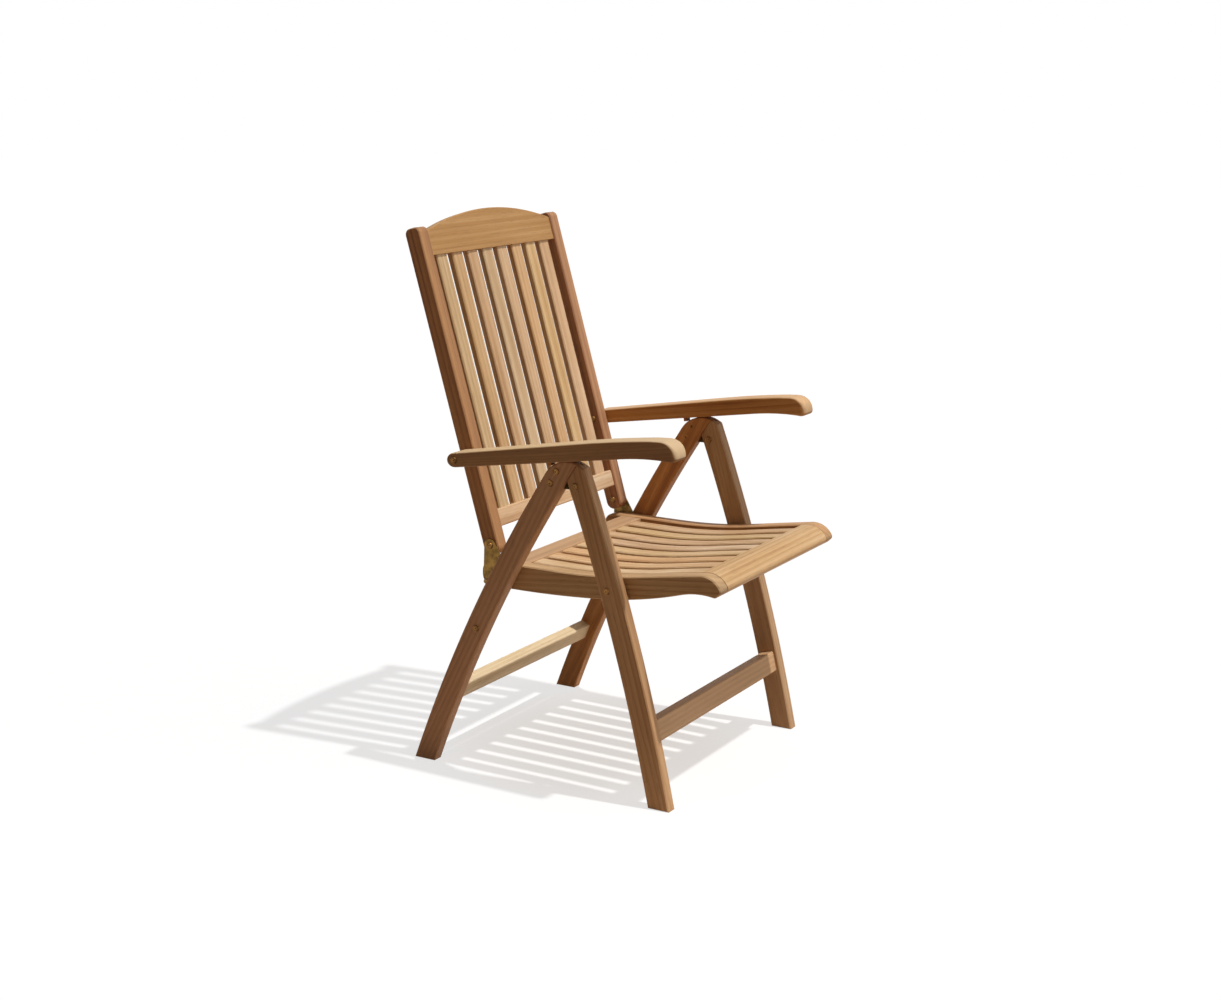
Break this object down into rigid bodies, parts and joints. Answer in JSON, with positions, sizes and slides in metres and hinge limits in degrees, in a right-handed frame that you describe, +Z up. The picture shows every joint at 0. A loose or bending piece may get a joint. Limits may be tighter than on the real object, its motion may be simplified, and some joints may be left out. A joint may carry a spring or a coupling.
{
  "type": "reclining folding armchair",
  "caption": "Folding wooden patio armchair: tall slatted back that reclines, curved slatted seat, shaped arms on notched catches, splayed bowed legs.",
  "frame": {"origin": "on the floor, under the middle of the chair's bounding box", "axes": "+Z up, the chair faces -Y, the sitter's left is +X"},
  "size_m": [0.6182, 0.707, 1.1037],
  "materials": {
    "teak": "oiled, satin",
    "brass": "aged, satin"
  },
  "bodies": {
    "rear_legs": {"rear_leg_right": "teak", "rear_leg_left": "teak", "rear_stretcher": "teak", "hinge_plate_right": "brass", "hinge_plate_left": "brass", "hinge_rivets": "brass", "leg_pivot_bolts": "brass", "fold_stop_bolts": "brass"},
    "front_legs": {"front_leg_right": "teak", "front_leg_left": "teak", "front_stretcher": "teak", "seat_pivot_bolts": "brass", "seat_pivot_washers": "brass"},
    "seat": {"seat_rail_right": "teak", "seat_rail_left": "teak", "seat_front_rail": "teak", "seat_rear_rail": "teak", "gusset_screws": "brass", "rest_pegs": "brass", "seat_slat_1": "teak", "seat_slat_2": "teak", "seat_slat_3": "teak", "seat_slat_4": "teak", "seat_slat_5": "teak", "seat_slat_6": "teak", "seat_slat_7": "teak", "seat_slat_8": "teak"},
    "back_pivots": {"back_gusset_right": "brass", "back_gusset_left": "brass", "back_pivot_bolts": "brass"},
    "back": {"back_stile_right": "teak", "back_stile_left": "teak", "back_top_rail": "teak", "back_bottom_rail": "teak", "back_slat_1": "teak", "back_slat_2": "teak", "back_slat_3": "teak", "back_slat_4": "teak", "back_slat_5": "teak", "back_slat_6": "teak", "back_slat_7": "teak", "back_slat_8": "teak"},
    "arm_pivot_right": {"arm_pivot_bolt_right": "brass", "arm_pivot_washer_right": "brass"},
    "arm_pivot_left": {"arm_pivot_bolt_left": "brass", "arm_pivot_washer_left": "brass"},
    "arm_right": {"armrest_right": "teak", "notch_rack_right": "teak"},
    "arm_left": {"armrest_left": "teak", "notch_rack_left": "teak"}
  },
  "joints": [
    {"name": "leg_fold", "type": "hinge", "parent": "rear_legs", "child": "front_legs", "pos_m": [0, -0.05748, 0.614], "axis": [1, 0, 0], "range_deg": [0, 42]},
    {"name": "seat_fold", "type": "hinge", "parent": "front_legs", "child": "seat", "pos_m": [0, -0.12848, 0.418], "axis": [-1, 0, 0], "range_deg": [0, 75.01]},
    {"name": "back_fold", "type": "hinge", "parent": "seat", "child": "back_pivots", "pos_m": [0, 0.11152, 0.397], "axis": [1, 0, 0], "range_deg": [0, 76.41]},
    {"name": "recline", "type": "hinge", "parent": "back_pivots", "child": "back", "pos_m": [0, 0.15652, 0.464], "axis": [-1, 0, 0], "range_deg": [0, 30]},
    {"name": "arm_slide_right", "type": "hinge", "parent": "back", "child": "arm_pivot_right", "pos_m": [0, 0.20837, 0.63846], "axis": [1, 0, 0], "range_deg": [0, 22.81]},
    {"name": "arm_fold_right", "type": "hinge", "parent": "arm_pivot_right", "child": "arm_right", "pos_m": [0, 0.20837, 0.63846], "axis": [-1, 0, 0], "range_deg": [0, 98.41]},
    {"name": "arm_slide_left", "type": "hinge", "parent": "back", "child": "arm_pivot_left", "pos_m": [0, 0.20837, 0.63846], "axis": [1, 0, 0], "range_deg": [0, 22.81]},
    {"name": "arm_fold_left", "type": "hinge", "parent": "arm_pivot_left", "child": "arm_left", "pos_m": [0, 0.20837, 0.63846], "axis": [-1, 0, 0], "range_deg": [0, 98.41]}
  ],
  "couplings": [
    {"joint": "seat_fold", "follows": "leg_fold", "ratio": 1.7857},
    {"joint": "back_fold", "follows": "leg_fold", "ratio": 1.819},
    {"joint": "arm_slide_right", "follows": "recline", "ratio": 0.76},
    {"joint": "arm_fold_right", "follows": "leg_fold", "ratio": 2.3429},
    {"joint": "arm_slide_left", "follows": "recline", "ratio": 0.76},
    {"joint": "arm_fold_left", "follows": "leg_fold", "ratio": 2.3429}
  ]
}
